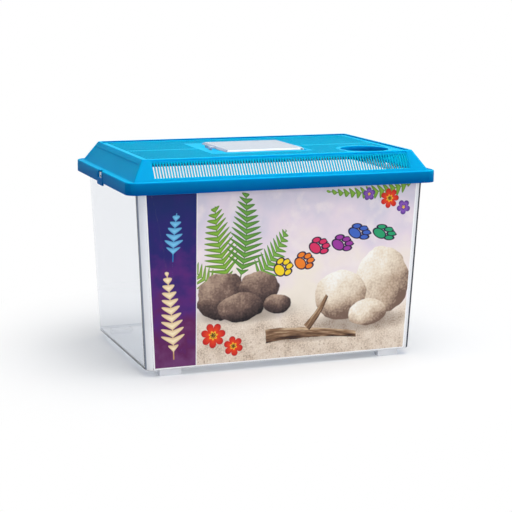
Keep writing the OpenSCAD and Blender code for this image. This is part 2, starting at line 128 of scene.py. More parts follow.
def add_softbox(name, place, aim, size, power):
    data = bpy.data.lights.new(name, "AREA")
    data.shape = "RECTANGLE"
    data.size, data.size_y = size
    data.energy = power
    lamp = bpy.data.objects.new(name, data)
    bpy.context.collection.objects.link(lamp)
    lamp.location = place
    lamp.rotation_euler = (Vector(aim) - Vector(place)).to_track_quat("-Z", "Y").to_euler()


def lay_floor():
    """Pale paper that takes a soft shade near the object and fades to plain white away from it."""
    bpy.ops.object.select_all(action="DESELECT")
    bpy.ops.mesh.primitive_plane_add(size=FLOOR_SIZE, location=(0, 0, 0))
    floor = bpy.context.object
    floor.name = "floor"
    material, tree = new_material("pale_floor")
    place = add_node(tree, "ShaderNodeTexCoord")
    far = add_node(tree, "ShaderNodeVectorMath", operation="LENGTH", inputs={0: place.outputs["Object"]})
    fade = add_node(tree, "ShaderNodeMapRange", interpolation_type="SMOOTHSTEP", inputs={
        "Value": far.outputs["Value"], "From Min": SHADE_ENDS, "From Max": WHITE_STARTS,
        "To Min": FLOOR_GLOW})
    share = add_node(tree, "ShaderNodeMath", operation="MULTIPLY", inputs={
        0: fade.outputs[0], 1: seen_directly(tree)})
    paper = add_node(tree, "ShaderNodeBsdfDiffuse", inputs={"Color": FLOOR_PAPER})
    white = add_node(tree, "ShaderNodeEmission", inputs={"Color": WHITE, "Strength": 1.0})
    mix = add_node(tree, "ShaderNodeMixShader", inputs={
        0: share.outputs[0], 1: paper.outputs[0], 2: white.outputs[0]})
    add_node(tree, "ShaderNodeOutputMaterial", inputs={0: mix.outputs[0]})
    floor.data.materials.append(material)


bpy.context.scene.view_settings.view_transform = "Standard"
place_camera()
light_room()
add_softbox("overhead_softbox", place=(0.15, -0.25, 1.7), aim=(0, 0, 0.1), size=(1.6, 1.2), power=24)
add_softbox("front_softbox", place=(0.5, -1.9, 1.0), aim=(0, 0, 0.12), size=(1.2, 0.9), power=6)
lay_floor()

# --------------------------------------------------------------------------- plastics

# The highest values of the painted light share: 0 is full painted shade, 1 the plain lit tone, 2 the
# painted glow on the inside faces
NOTHING_BEHIND, INSIDE_GLOW = 1, 2
# How far light spreads in the blue plastic, in metres
OUTER_SPREAD, INNER_SPREAD = 0.005, 0.02
# The range that most of a noise texture lies in
NOISE_LOW, NOISE_HIGH = 0.3, 0.7
# Where a Mix node has its two colours, among its inputs, and the mixed one, among its outputs
FIRST_COLOUR, SECOND_COLOUR, MIXED_COLOUR = 6, 7, 2


def ink(red, green, blue):
    """A colour from 0 to 255, as it is printed or dyed, for a node."""
    def linear(value):
        value /= 255
        return value / 12.92 if value <= 0.04045 else ((value + 0.055) / 1.055) ** 2.4
    return linear(red), linear(green), linear(blue), 1.0


def mixed(tree, share, first, second):
    """The colour between two others that has this share of the second."""
    node = add_node(tree, "ShaderNodeMix", data_type="RGBA", inputs={
        0: share, FIRST_COLOUR: first, SECOND_COLOUR: second})
    return node.outputs[MIXED_COLOUR]


def mottled(tree, place, colour, scale, low, high):
    """A colour with faint soft blotches, between a darker and a lighter share of itself."""
    noise = add_node(tree, "ShaderNodeTexNoise", inputs={"Vector": place, "Scale": scale, "Detail": 3.0})
    tone = add_node(tree, "ShaderNodeMapRange", inputs={
        "Value": noise.outputs[0], "From Min": NOISE_LOW, "From Max": NOISE_HIGH,
        "To Min": low, "To Max": high})
    return add_node(tree, "ShaderNodeVectorMath", operation="SCALE", inputs={
        0: colour, "Scale": tone.outputs[0]}).outputs[0]


def bumped(tree, place, scale, detail, strength, depth):
    """A normal for a surface that isn't quite smooth."""
    noise = add_node(tree, "ShaderNodeTexNoise", inputs={"Vector": place, "Scale": scale, "Detail": detail})
    return add_node(tree, "ShaderNodeBump", inputs={
        "Height": noise.outputs[0], "Strength": strength, "Distance": depth}).outputs[0]


def moulded_plastic(name, shaded_tone, lit_tone, glowing_inner_tone, roughness):
    """Satin plastic with light and shade painted into its colour: a painted shade tone, its lit tone, and a
    brighter painted glow on the inside. The piece's painted light attribute says which: 0 for shade, 1 for
    lit, 2 for the glow."""
    material, tree = new_material(name)
    place = add_node(tree, "ShaderNodeTexCoord").outputs["Object"]
    painted_light = add_node(tree, "ShaderNodeAttribute", attribute_name="painted_light").outputs["Fac"]
    inside = add_node(tree, "ShaderNodeMapRange", inputs={
        "Value": painted_light, "From Min": NOTHING_BEHIND, "From Max": INSIDE_GLOW}).outputs[0]
    lit_and_shaded_colour = mixed(tree, inside, mixed(tree, painted_light, shaded_tone, lit_tone), glowing_inner_tone)
    spread = add_node(tree, "ShaderNodeMapRange", inputs={
        "Value": inside, "To Min": OUTER_SPREAD, "To Max": INNER_SPREAD})
    body = add_node(tree, "ShaderNodeBsdfPrincipled", inputs={
        "Base Color": mottled(tree, place, lit_and_shaded_colour, 9.0, 0.96, 1.04),
        "Normal": bumped(tree, place, 900.0, 2.0, 0.08, 0.0002),
        "Roughness": roughness, "IOR": 1.49, "Specular IOR Level": 0.03,
        "Subsurface Weight": 1.0, "Subsurface Scale": spread.outputs[0],
        "Subsurface Radius": (0.3, 0.9, 1.0)})
    add_node(tree, "ShaderNodeOutputMaterial", inputs={0: body.outputs[0]})
    return material


def clear_plastic(name, tint, haze, roughness=0.02, gloss=0.5):
    """Clear plastic: its tint is what one wall takes, and its haze the share that scatters white."""
    material, tree = new_material(name)
    place = add_node(tree, "ShaderNodeTexCoord").outputs["Object"]
    glass = add_node(tree, "ShaderNodeBsdfPrincipled", inputs={
        "Base Color": tint, "Normal": bumped(tree, place, 22.0, 1.0, 0.05, 0.0004),
        "Roughness": roughness, "IOR": 1.58, "Specular IOR Level": gloss,
        "Transmission Weight": 1.0 - haze})
    depth = add_node(tree, "ShaderNodeVolumeAbsorption", inputs={
        "Color": (0.45, 0.58, 0.78, 1), "Density": 2.5})
    path = add_node(tree, "ShaderNodeLightPath")
    through = add_node(tree, "ShaderNodeBsdfTransparent", inputs={"Color": (0.93, 0.95, 0.97, 1)})
    mix = add_node(tree, "ShaderNodeMixShader", inputs={
        0: path.outputs["Is Shadow Ray"], 1: glass.outputs[0], 2: through.outputs[0]})
    add_node(tree, "ShaderNodeOutputMaterial", inputs={
        "Surface": mix.outputs[0], "Volume": depth.outputs[0]})
    return material


# ---------------------------------------------- amounts and colours worked out by nodes


class Amount:
    """A number that nodes work out at every point of a surface."""

    def __init__(self, tree, socket):
        self.tree = tree
        self.socket = socket

    def node(self, kind, values, **settings):
        sockets = {}
        for key, value in enumerate(values):
            sockets[key] = value.socket if isinstance(value, Amount) else value
        return add_node(self.tree, kind, inputs=sockets, **settings)

    def calc(self, operation, *others):
        node = self.node("ShaderNodeMath", (self, *others), operation=operation)
        return Amount(self.tree, node.outputs[0])

    def __add__(self, other):
        return self.calc("ADD", other)

    def __sub__(self, other):
        return self.calc("SUBTRACT", other)

    def __mul__(self, other):
        return self.calc("MULTIPLY", other)

    def __truediv__(self, other):
        return self.calc("DIVIDE", other)

    def size(self):
        return self.calc("ABSOLUTE")

    def least(self, other):
        return self.calc("MINIMUM", other)

    def most(self, other):
        return self.calc("MAXIMUM", other)

    def root(self):
        return self.most(0.0).calc("SQRT")

    def between(self, low, high, low_value=0.0, high_value=1.0):
        """A soft step from one value to another, as the number goes from low to high."""
        node = self.node(
            "ShaderNodeMapRange", (self, low, high, low_value, high_value),
            interpolation_type="SMOOTHSTEP"
        )
        return Amount(self.tree, node.outputs[0])

    def tones(self, *stops):
        """A colour from a ramp, given as pairs of a place from 0 to 1 and a colour."""
        node = self.node("ShaderNodeValToRGB", (self,))
        marks = node.color_ramp.elements
        while len(marks) < len(stops):
            marks.new(1.0)
        for mark, (place, colour) in zip(marks, stops):
            mark.position = place
        for mark, (place, colour) in zip(marks, stops):
            mark.color = colour
        return node.outputs[0]


class Picture:
    """A printed picture that is built up in layers: x to the right and y up, in millimetres."""

    # Half the width of a frond's rib, the length of its bare stalk, and the width of a soft edge
    RIB, STALK, SOFT_EDGE = 0.8, 8, 0.3
    # A paw print's palm and toes, as shares of its size: place across and along, and half sizes
    PALM = (0.0, -0.2, 0.3, 0.23)
    TOES = ((-0.37, 0.1), (-0.14, 0.34), (0.14, 0.34), (0.37, 0.1))
    TOE_SIZE = (0.115, 0.17)
    # How far the prints stand out to the left and right, as a share of their pitch
    PAW_SPREAD = 0.16

    def __init__(self, tree, below):
        self.tree = tree
        self.colour = below
        place = add_node(tree, "ShaderNodeTexCoord")
        split = add_node(tree, "ShaderNodeSeparateXYZ", inputs={0: place.outputs["Object"]})
        self.x = Amount(tree, split.outputs["X"]) / MM
        self.y = Amount(tree, split.outputs["Z"]) / MM
        self.point = self.vector(self.x, self.y)

    def vector(self, x, y):
        node = add_node(self.tree, "ShaderNodeCombineXYZ", inputs={0: x.socket, 1: y.socket})
        return node.outputs[0]

    def cloud(self, size, detail=2.0, point=None):
        """Soft random mottling with blotches about this many millimetres wide."""
        node = add_node(self.tree, "ShaderNodeTexNoise", noise_dimensions="2D", inputs={
            "Vector": point or self.point, "Scale": 1 / size, "Detail": detail})
        return Amount(self.tree, node.outputs[0])

    def lay(self, share, colour):
        """Prints a colour over what is there, wholly where the share is 1."""
        self.colour = mixed(self.tree, share.socket, self.colour, colour)

    def from_place(self, x, y, turn=0.0):
        """Distances along and across a line that starts at a place and is turned anticlockwise."""
        right, up = self.x - x, self.y - y
        if not turn:
            return right, up
        cos, sin = math.cos(math.radians(turn)), math.sin(math.radians(turn))
        return right * cos + up * sin, up * cos - right * sin

    # The motifs

    def shadow(self, x, y, half_x, half_y, strength, colour):
        right, up = self.from_place(x, y)
        u, v = right / half_x, up / half_y
        self.lay((u * u + v * v).between(1.2, 0.15, 0.0, strength), colour)

    def stone(self, x, y, half_x, half_y, turn, tones, wobble=0.3, size=16, grain=0.3):
        """A boulder that is lit from above, on the left."""
        along, across = self.from_place(x, y, turn)
        u, v = along / half_x, across / half_y
        rough = self.cloud(size, 2.0) - 0.5
        reach = (u * u + v * v).root() + rough * wobble
        light = v * 0.34 - u * 0.16 - reach * reach * 0.14 + rough * 0.5 + 0.56
        light = light + (self.cloud(2.6, 2.0) - 0.5) * grain
        self.lay(reach.between(1.0, 1.0 - 1.0 / half_y), light.tones(*tones))

    def frond(self, x, y, turn, length, bend, leaf, pitch, dark, pale):
        """A fern's frond or a leafy sprig: leaflets on both sides of a bent rib."""
        along, across = self.from_place(x, y, turn)
        across = across + along * along * bend
        side = across.size()
        base = along - side * 0.5
        share = base / length
        reach = (share * -1 + 1).root() * share.between(-0.03, 0.16) * leaf
        out = side / reach.most(0.01)
        middle = ((base / pitch).calc("FRACT") - 0.5).size() * pitch
        gap = (out * -1 + 1).root() * (0.47 * pitch) - middle
        rib = side.between(self.RIB, self.RIB - self.SOFT_EDGE)
        rib = rib * along.between(-self.STALK, 1 - self.STALK) * along.between(length, length - 1)
        on = gap.between(0.0, self.SOFT_EDGE).most(rib)
        tone = middle / pitch + out * 0.35
        self.lay(on, tone.tones((0.0, pale), (0.75, dark)))

    def flower(self, x, y, radius, petals, turn, tones):
        right, up = self.from_place(x, y, turn)
        out = (right * right + up * up).root() / radius
        petal = (up.calc("ARCTAN2", right) * (petals / 2)).calc("COSINE").size().root()
        tone = out + (petal * -1 + 1) * 0.3
        self.lay((petal * 0.45 + 0.55 - out).between(0.0, 0.06), tone.tones(*tones))

    def branch(self, x, y, turn, length, thick, bend, tones):
        along, across = self.from_place(x, y, turn)
        across = across + along * along * bend
        bark = self.cloud(3.0, 3.0, self.vector(along * 0.14, across))
        side = across / (along * (-0.55 * thick / length) + thick)
        on = (side.size() + bark * 0.2).between(0.6, 0.54)
        on = on * along.between(0.0, 1.0) * along.between(length, length - 1)
        self.lay(on, (bark * 1.2 + side * 0.5 - 0.12).tones(*tones))

    def paw_trail(self, x, y, turn, bend, pitch, count, size, tones, rim_colour):
        """Paw prints one after the other, each in the next tone and by turns to the left and right."""
        along, across = self.from_place(x, y, turn)
        across = across + along * along * bend
        step = (along / pitch).calc("FLOOR")
        parity = (step * 0.5).calc("FRACT") * 4 - 1
        u = (across + parity * (self.PAW_SPREAD * pitch)) / size
        v = (along - (step + 0.5) * pitch) / size

        def blob(middle_u, middle_v, half_u, half_v):
            right, up = (u - middle_u) / half_u, (v - middle_v) / half_v
            return ((right * right + up * up).root() - 1) * min(half_u, half_v)

        away = blob(*self.PALM)
        for toe in self.TOES:
            away = away.least(blob(*toe, *self.TOE_SIZE))
        there = step.between(-0.6, -0.4) * step.between(count - 0.4, count - 0.6)
        self.lay(away.between(0.075, 0.05) * there, rim_colour)
        self.lay(away.between(0.015, -0.01) * there, (step / (count - 1)).tones(*tones))


# ---------------------------------------------------------------- the label's picture

DARK_ROCK = (
    (0.12, ink(30, 24, 28)), (0.4, ink(78, 62, 60)), (0.62, ink(124, 100, 90)), (0.85, ink(186, 160, 140)),
)
PALE_ROCK = (
    (0.15, ink(120, 96, 84)), (0.38, ink(196, 172, 150)), (0.62, ink(238, 224, 204)),
    (0.85, ink(253, 250, 244)),
)
PEBBLE = (
    (0.0, ink(120, 98, 84)), (0.4, ink(178, 154, 132)), (0.7, ink(222, 204, 184)),
    (1.0, ink(246, 238, 226)),
)
SKY = (
    (0.0, ink(236, 226, 212)), (0.3, ink(244, 234, 222)), (0.48, ink(242, 230, 228)),
    (0.72, ink(232, 218, 230)), (1.0, ink(214, 208, 224)),
)
SAND = (
    (0.2, ink(166, 142, 122)), (0.42, ink(222, 204, 186)), (0.7, ink(244, 232, 218)),
)
DUSK = (
    (0.0, ink(20, 36, 104)), (0.3, ink(36, 30, 108)), (0.55, ink(84, 34, 118)), (0.8, ink(96, 30, 88)),
    (1.0, ink(112, 58, 112)),
)
DRIFTWOOD = (
    (0.15, ink(58, 40, 34)), (0.5, ink(138, 104, 78)), (0.85, ink(206, 178, 146)),
)
ORANGE_PETALS = (
    (0.0, ink(40, 16, 20)), (0.2, ink(52, 20, 24)), (0.28, ink(255, 214, 60)), (0.4, ink(236, 70, 30)),
    (0.85, ink(206, 38, 34)), (1.0, ink(150, 20, 34)),
)
VIOLET_PETALS = (
    (0.0, ink(255, 226, 90)), (0.2, ink(250, 200, 60)), (0.28, ink(90, 40, 130)), (0.5, ink(140, 90, 190)),
    (1.0, ink(70, 40, 120)),
)
RAINBOW = (
    (0.0, ink(250, 214, 40)), (0.17, ink(244, 140, 36)), (0.34, ink(226, 50, 60)), (0.5, ink(200, 50, 140)),
    (0.67, ink(110, 60, 170)), (0.84, ink(36, 110, 200)), (1.0, ink(40, 160, 110)),
)
FERN_DARK, FERN_PALE = ink(36, 74, 30), ink(140, 190, 66)
GILT_DARK, GILT_PALE = ink(206, 160, 96), ink(255, 240, 206)
SPRIG_DARK, SPRIG_PALE = ink(30, 120, 190), ink(130, 206, 240)
BROWN_SHADE, BRANCH_SHADE = ink(92, 74, 66), ink(110, 88, 76)
BARE_FILM, BAND_LINE, CLOUD_WHITE = ink(250, 250, 252), ink(246, 244, 248), ink(246, 236, 236)
RIM_INK = ink(34, 28, 60)

# Edges of the print, in millimetres: the label narrows downwards with the tank's wall
LABEL_TOP = 204
WALL_TOP, HALF_WIDTH_AT_TOP, END_DRAFT = 215, 163.1, 10.7 / 208
SIDE_MARGIN, FOOT_LEVEL = 1.6, 9.9
BAND_RIGHT = -104.2
SHORE_HIGH, SHORE_LOW = 74, 44
PEBBLE_PITCH = 6.0


def print_backdrop(picture):
    """A hazy lavender sky over pale sand."""
    haze = (picture.cloud(46, 3.0) - 0.5) * 0.9
    picture.colour = (picture.y / LABEL_TOP + haze).tones(*SKY)
    picture.lay(picture.cloud(24, 4.0).between(0.5, 0.75, 0.0, 0.5), CLOUD_WHITE)
    shore = picture.y + (picture.cloud(30, 3.0) - 0.5) * 26
    grit = picture.cloud(1.8, 3.0) * 0.6 + (picture.cloud(18, 2.0) - 0.5) * 0.5 + 0.15
    picture.lay(shore.between(SHORE_HIGH, SHORE_LOW, 0.0, 0.92), grit.tones(*SAND))


def print_pebbles(picture):
    """Small stones strewn thinly over the lower edge of the sand."""
    cells = add_node(picture.tree, "ShaderNodeTexVoronoi", voronoi_dimensions="2D", inputs={
        "Vector": picture.point, "Scale": 1 / PEBBLE_PITCH})
    split = add_node(picture.tree, "ShaderNodeSeparateColor", inputs={0: cells.outputs["Color"]})
    middle = Amount(picture.tree, cells.outputs["Distance"])
    chance = Amount(picture.tree, split.outputs[0])
    strewn = (picture.cloud(38, 1.0) * 60 - picture.y).between(-6, 10, 0.0, 0.75)
    reach = chance * 0.3 + 0.12
    stone = chance * 0.8 - middle * 0.7 + 0.2
    picture.lay(middle.between(reach, reach - 0.12) * strewn, stone.tones(*PEBBLE))


def print_ferns(picture):
    picture.shadow(-48, 66, 66, 14, 0.55, BROWN_SHADE)
    picture.frond(-66, 104, 112, 84, 0.0022, 24, 6.4, FERN_DARK, FERN_PALE)
    picture.frond(-52, 108, 78, 92, -0.0018, 25, 6.6, ink(28, 66, 34), ink(112, 172, 70))
    picture.frond(-80, 96, 148, 46, 0.0036, 17, 5.4, ink(44, 84, 34), ink(156, 196, 84))
    picture.frond(-36, 100, 44, 66, -0.0034, 20, 5.8, ink(34, 78, 34), ink(132, 188, 76))


def print_dark_rocks(picture):
    picture.stone(-74, 86, 30, 27, 8, DARK_ROCK)
    picture.stone(-30, 92, 25, 20, -12, DARK_ROCK)
    picture.stone(-52, 72, 28, 17, 4, DARK_ROCK)
    picture.stone(-8, 73, 17, 12, -6, DARK_ROCK)


def print_pale_rocks(picture):
    picture.shadow(94, 45, 66, 14, 0.5, BROWN_SHADE)
    picture.stone(122, 92, 34, 40, 12, PALE_ROCK, wobble=0.22, size=26)
    picture.stone(70, 78, 32, 30, -8, PALE_ROCK, wobble=0.22, size=24)
    picture.stone(104, 55, 25, 16, 4, PALE_ROCK, wobble=0.2, size=20)


def print_driftwood(picture):
    picture.shadow(30, 33, 58, 8, 0.45, BRANCH_SHADE)
    picture.branch(-22, 36, 4, 112, 17, 0.0011, DRIFTWOOD)
    picture.branch(28, 42, 46, 44, 10, -0.004, DRIFTWOOD)


def print_flowers(picture):
    picture.frond(156, 204, 197, 104, 0.0024, 11, 7.0, FERN_DARK, FERN_PALE)
    for x, y, radius, petals, turn in ((-84, 42, 15, 7, 10), (-60, 28, 12, 6, 40), (128, 187, 12, 7, 0)):
        picture.flower(x, y, radius, petals, turn, ORANGE_PETALS)
    for x, y, radius, petals, turn in ((102, 193, 8, 5, 20), (146, 176, 9, 5, 50)):
        picture.flower(x, y, radius, petals, turn, VIOLET_PETALS)


def print_paws(picture):
    picture.paw_trail(-10, 104, 36, 0.0022, 24, 6, 22, RAINBOW, RIM_INK)


def print_side_band(picture):
    """A dark band down the left side, with a gilt sprig and a blue one."""
    mottle = (picture.cloud(22, 4.0) - 0.5) * 0.7
    dusk = picture.y / -LABEL_TOP + 1 + mottle
    inside = picture.x.between(BAND_RIGHT + 0.2, BAND_RIGHT - 0.2)
    picture.lay((picture.x - BAND_RIGHT).size().between(1.1, 0.7), BAND_LINE)
    picture.lay(inside, dusk.tones(*DUSK))
    picture.frond(-130, 26, 92, 92, -0.0006, 15, 8.6, GILT_DARK, GILT_PALE)
    picture.frond(-131, 136, 88, 46, 0.0012, 12, 7.4, SPRIG_DARK, SPRIG_PALE)


def print_white_edges(picture):
    """The bare white film along both sides and the foot of the label."""
    half_width = (picture.y - WALL_TOP) * END_DRAFT + HALF_WIDTH_AT_TOP
    from_side = half_width - picture.x.size()
    picture.lay(from_side.between(SIDE_MARGIN, SIDE_MARGIN - picture.SOFT_EDGE), BARE_FILM)
    picture.lay(picture.y.between(FOOT_LEVEL, FOOT_LEVEL - picture.SOFT_EDGE), BARE_FILM)


LAYERS = (
    print_backdrop, print_pebbles, print_ferns, print_dark_rocks, print_pale_rocks, print_driftwood,
    print_flowers, print_paws, print_side_band, print_white_edges,
)


def print_over(tree, layer, below):
    """Prints one layer over the colour below it, as a node group of its own."""
    group = bpy.data.node_groups.new(layer.__name__, "ShaderNodeTree")
    group.interface.new_socket("Below", in_out="INPUT", socket_type="NodeSocketColor")
    group.interface.new_socket("Printed", in_out="OUTPUT", socket_type="NodeSocketColor")
    picture = Picture(group, add_node(group, "NodeGroupInput").outputs["Below"])
    layer(picture)
    add_node(group, "NodeGroupOutput", inputs={"Printed": picture.colour})
    return add_node(tree, "ShaderNodeGroup", node_tree=group, inputs={"Below": below}).outputs["Printed"]


def print_picture(tree):
    colour = BARE_FILM
    for layer in LAYERS:
        colour = print_over(tree, layer, colour)
    return colour


def printed_film(name):
    material, tree = new_material(name)
    body = add_node(tree, "ShaderNodeBsdfPrincipled", inputs={
        "Base Color": print_picture(tree), "Roughness": 0.35, "IOR": 1.5, "Specular IOR Level": 0.2})
    add_node(tree, "ShaderNodeOutputMaterial", inputs={0: body.outputs[0]})
    return material


def white_film(name):
    material, tree = new_material(name)
    place = add_node(tree, "ShaderNodeTexCoord").outputs["Object"]
    body = add_node(tree, "ShaderNodeBsdfPrincipled", inputs={
        "Base Color": mottled(tree, place, (0.82, 0.82, 0.84), 60.0, 0.95, 1.03), "Roughness": 0.5})
    add_node(tree, "ShaderNodeOutputMaterial", inputs={0: body.outputs[0]})
    return material


# ------------------------------------------------ sizes of the mouldings, in millimetres

NEAR = 0.08
SAME_POINT, SAME_PLANE = 0.002, math.radians(0.5)
SMOOTH_BELOW = math.radians(35)


def half_box(node):
    """Half length, half depth, lowest level and highest level of a node."""
    low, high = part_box(node)
    return (high.x - low.x) / 2 / MM, (high.y - low.y) / 2 / MM, low.z / MM, high.z / MM


SKIRT_X, SKIRT_Y, SKIRT_LOW, BORDER_TOP = half_box("lid")
SKIRT_RADIUS, SKIRT_WALL, SKIRT_HEIGHT, LEDGE_DROP = 12, 2.2, 14, 0.8
CROWN_INSET_X, CROWN_INSET_Y = 8.2, 4.2
CROWN_LEAN_X, CROWN_LEAN_Y = 14.2, 16.2
HIP_RADIUS = 3.5
BORDER_WIDTH, PANEL_DROP, PANEL_RADIUS = 3, 1.6, 1.5
FIELD_RECESS = 0.8
RECESS_X, RECESS_Y, RECESS_RADIUS, RECESS_DEPTH = 119.5, -53.5, 28, 6
# Left end, right end and half depth
HATCH_ZONE = (-68, 56.3, 52)
OPENING = (-41.5, 37.75, 37)
TROUGH = (39.35, 51.65, 44.4)
SCOOP_X, SCOOP_RADIUS = -33.5, 31.5
HATCH_X, HATCH_Y, HATCH_RADIUS = 48.5, 44, 2.6
HATCH_HEIGHT = 2.4
HATCH_BEVEL = 2.5
TAB_LENGTH, TAB_WIDTH = 8.5, 12
LATCH_PROUD = 0.6
LID_GAP = 0.4
CATCH_PROUD = 0.7
RIM_HEIGHT = 7.5
FOOT_HEIGHT, FOOT_ROUND = 7, 6
# How far the fields of slots keep from what is around them
PANEL_MARGIN, RECESS_MARGIN, SLOPE_MARGIN = 2, 1, 1

SKIRT_TOP = SKIRT_LOW + SKIRT_HEIGHT
LEDGE_TOP = SKIRT_TOP - LEDGE_DROP
CROWN_X = SKIRT_X - CROWN_INSET_X
CROWN_Y = SKIRT_Y - CROWN_INSET_Y
CREST_X, CREST_Y = CROWN_X - CROWN_LEAN_X, CROWN_Y - CROWN_LEAN_Y
PANEL_TOP = BORDER_TOP - PANEL_DROP
PANEL_X, PANEL_Y = CREST_X - BORDER_WIDTH, CREST_Y - BORDER_WIDTH
RECESS_FLOOR = PANEL_TOP - RECESS_DEPTH

# The height in which the skirt's painted shade fades out, the recess's lip that is kept free of painted
# shade, and room for rounded edges
SKIRT_FADE, RECESS_LIP, SLACK = 3, 0.7, 0.3
# Shares of painted light in the places painted with shade
BORDER_WALL_LIGHT, RECESS_LIGHT, END_LIGHT = 0.25, 0.3, 0.7
# Degrees from the front between which the tank's corners get a painted highlight, a painted dark line on
# the left, and painted shade on the right
HIGHLIGHT_TURN, DARK_LINE_TURN, PAINTED_SHADE_TURN = (3, 60), (60, 80), (26, 70)


def on_outline(half_x, half_y, radius, level):
    """Tells if a point is on a rectangle with round corners, centred, at a level."""
    def test(point):
        x = max(abs(point.x) - half_x + radius, 0)
        y = max(abs(point.y) - half_y + radius, 0)
        return abs(point.z - level) < NEAR and abs(math.hypot(x, y) - radius) < NEAR
    return test


def on_circle(x, y, radius, level):
    """Tells if a point is on an upright circle's edge at a level."""
    def test(point):
        off = math.hypot(point.x - x, point.y - y) - radius
        return abs(point.z - level) < NEAR and abs(off) < NEAR
    return test


def in_box(low_x, high_x, half_y, low_z, high_z):
    """Tells if a point is in a box that is centred from front to back."""
    def test(point):
        return (
            low_x - NEAR < point.x < high_x + NEAR and abs(point.y) < half_y + NEAR
            and low_z - NEAR < point.z < high_z + NEAR
        )
    return test


def among_panel_slots(point):
    """On the lid's top, away from its border, the hatch and the recess."""
    left, right, half_y = HATCH_ZONE
    beside_hatch = left < point.x < right and abs(point.y) < half_y
    in_recess = math.hypot(point.x - RECESS_X, point.y - RECESS_Y) < RECESS_RADIUS + RECESS_MARGIN
    on_panel = abs(point.x) < PANEL_X - PANEL_MARGIN and abs(point.y) < PANEL_Y - PANEL_MARGIN
    return abs(point.z - PANEL_TOP) < NEAR and on_panel and not beside_hatch and not in_recess


def among_slope_slots(point):
    """On the sunk face of the front or back slope, between the crown's foot and its top."""
    height = BORDER_TOP - LEDGE_TOP
    long = math.hypot(height, CROWN_LEAN_Y)
    out = ((abs(point.y) - CROWN_Y) * height + (point.z - LEDGE_TOP) * CROWN_LEAN_Y) / long
    on_slope = LEDGE_TOP + SLOPE_MARGIN < point.z < BORDER_TOP - SLOPE_MARGIN
    return on_slope and abs(out + FIELD_RECESS) < NEAR


# --------------------------------------------------------------- dressing of the pieces


def take(piece):
    """Makes a piece the only one that is selected."""
    bpy.ops.object.select_all(action="DESELECT")
    piece.select_set(True)
    bpy.context.view_layer.objects.active = piece


def own_copy(node, name, body):
    """A copy of a node's mesh, merged into whole faces, that stands for the node."""
    piece = bpy.data.objects.new(name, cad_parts[node].data.copy())
    bpy.context.collection.objects.link(piece)
    take(piece)
    bpy.ops.mesh.customdata_custom_splitnormals_clear()
    bpy.ops.object.mode_set(mode="EDIT")
    bpy.ops.mesh.select_all(action="SELECT")
    bpy.ops.mesh.remove_doubles(threshold=SAME_POINT * MM)
    bpy.ops.mesh.dissolve_limited(angle_limit=SAME_PLANE)
    bpy.ops.object.mode_set(mode="OBJECT")
    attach(piece, body)
    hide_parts(node)
    return piece


def round_edges(piece, width, wanted, steps=3, least_angle=25, only_convex=False):
    """Rounds the sharp edges whose two ends pass a test, as a mould's cutter leaves them."""
    take(piece)
    bpy.ops.object.mode_set(mode="EDIT")
    bpy.ops.mesh.select_mode(type="EDGE")
    bpy.ops.mesh.select_all(action="DESELECT")
    mesh = bmesh.from_edit_mesh(piece.data)
    sharp = [
        edge for edge in mesh.edges
        if edge.is_manifold and edge.calc_face_angle() >= math.radians(least_angle)
        and (edge.is_convex or not only_convex) and all(wanted(vertex.co / MM) for vertex in edge.verts)
    ]
    for edge in sharp:
        edge.select_set(True)
    bmesh.update_edit_mesh(piece.data)
    if sharp:
        bpy.ops.mesh.bevel(
            offset=width * MM, offset_type="OFFSET", segments=steps, profile=0.5,
            clamp_overlap=True, miter_outer="SHARP"
        )
    bpy.ops.object.mode_set(mode="OBJECT")


def smooth_rounds(piece):
    """Smooth shading over the rounded edges, with the flat faces kept flat."""
    take(piece)
    bpy.ops.object.shade_smooth_by_angle(angle=SMOOTH_BELOW)
    modifier = piece.modifiers.new("flat_faces", "WEIGHTED_NORMAL")
    modifier.keep_sharp = True
    bpy.ops.object.modifier_apply(modifier=modifier.name)


def dress_lid():
    lid = own_copy("lid", "vented_lid", "lid")
    crest = (CREST_X, CREST_Y, HIP_RADIUS)
    panel = (PANEL_X, PANEL_Y, PANEL_RADIUS)
    lip = (SKIRT_X - SKIRT_WALL, SKIRT_Y - SKIRT_WALL, SKIRT_RADIUS - SKIRT_WALL)
    skirt = (SKIRT_X, SKIRT_Y, SKIRT_RADIUS)
    recess = (RECESS_X, RECESS_Y, RECESS_RADIUS)
    for width, wanted in (
        (0.6, on_outline(*crest, BORDER_TOP)),
        (0.4, on_outline(*panel, BORDER_TOP)),
        (0.5, on_outline(*panel, PANEL_TOP)),
        (1.5, on_outline(*skirt, SKIRT_TOP)),
        (0.7, on_outline(*skirt, SKIRT_LOW)),
        (0.35, on_outline(*lip, SKIRT_TOP)),
        (0.3, on_outline(*lip, LEDGE_TOP)),
        (0.4, on_outline(*lip, SKIRT_LOW)),
        (1.0, on_outline(CROWN_X, CROWN_Y, HIP_RADIUS, LEDGE_TOP)),
        (0.6, on_circle(*recess, PANEL_TOP)),
        (1.0, on_circle(*recess, RECESS_FLOOR)),
        (0.4, in_box(*TROUGH, PANEL_TOP, PANEL_TOP)),
        (0.4, in_box(*OPENING, PANEL_TOP, PANEL_TOP)),
    ):
        round_edges(lid, width, wanted)
    round_edges(lid, 0.3, on_circle(SCOOP_X, 0, SCOOP_RADIUS, PANEL_TOP), steps=2, least_angle=8)
    round_edges(lid, 0.2, among_panel_slots, steps=1)
    round_edges(lid, 0.2, among_slope_slots, steps=1, only_convex=True)
    smooth_rounds(lid)
    return lid


def dress_tank():
    tank = own_copy("tank", "clear_tank", "tank")
    end_x, rim_y, ground, rim_top = half_box("tank")
    rim = (end_x - CATCH_PROUD, rim_y, SKIRT_RADIUS - SKIRT_WALL - LID_GAP)
    for width, wanted in (
        (0.6, on_outline(*rim, rim_top - RIM_HEIGHT)),
        (0.4, on_outline(*rim, rim_top)),
        (0.5, in_box(-end_x, end_x, rim_y, ground, FOOT_HEIGHT - 0.5)),
    ):
        round_edges(tank, width, wanted, steps=2)
    smooth_rounds(tank)
    return tank


